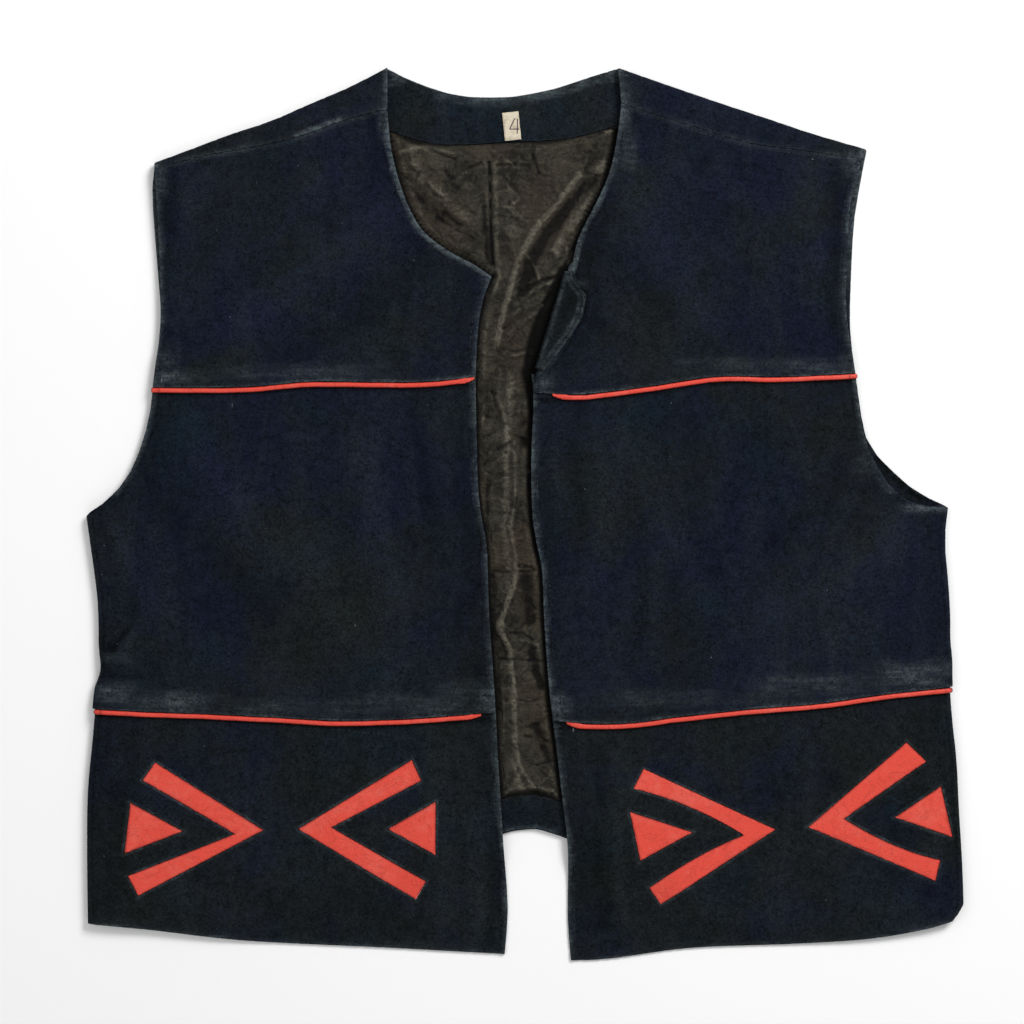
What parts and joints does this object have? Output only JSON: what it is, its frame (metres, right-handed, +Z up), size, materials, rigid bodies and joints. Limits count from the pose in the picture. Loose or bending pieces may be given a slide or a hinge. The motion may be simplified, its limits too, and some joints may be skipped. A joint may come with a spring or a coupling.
{
  "type": "suede vest",
  "caption": "Sleeveless open-front suede vest laid flat, in three tiers with red leather piping, inlaid red chevrons and triangles, and a satin back lining.",
  "frame": {"origin": "on the surface that the vest lies on, under the middle of its bounding box", "axes": "+Z up out of the surface, +Y from the hem towards the neck, +X towards the wearer's left front"},
  "size_m": [0.562, 0.572, 0.015],
  "materials": {
    "suede": "matt, blue-black suede, worn grey-teal at its edges",
    "red_leather": "soft, slightly creased red leather",
    "lining": "brown-olive satin",
    "label": "cream woven tape"
  },
  "bodies": {
    "root": {"back": "suede", "back_neck_facing": "suede", "back_hem_facing": "suede", "back_lining": "lining", "size_label": "label", "right_front_yoke": "suede", "right_front_middle": "suede", "right_front_lower": "suede", "left_front_yoke": "suede", "left_front_middle": "suede", "left_front_lower": "suede", "left_front_facing": "suede", "right_upper_piping": "red_leather", "right_lower_piping": "red_leather", "left_upper_piping": "red_leather", "left_lower_piping": "red_leather", "right_outer_chevron": "red_leather", "right_outer_triangle": "red_leather", "right_inner_chevron": "red_leather", "right_inner_triangle": "red_leather", "left_inner_chevron": "red_leather", "left_inner_triangle": "red_leather", "left_outer_chevron": "red_leather", "left_outer_triangle": "red_leather"}
  },
  "joints": []
}
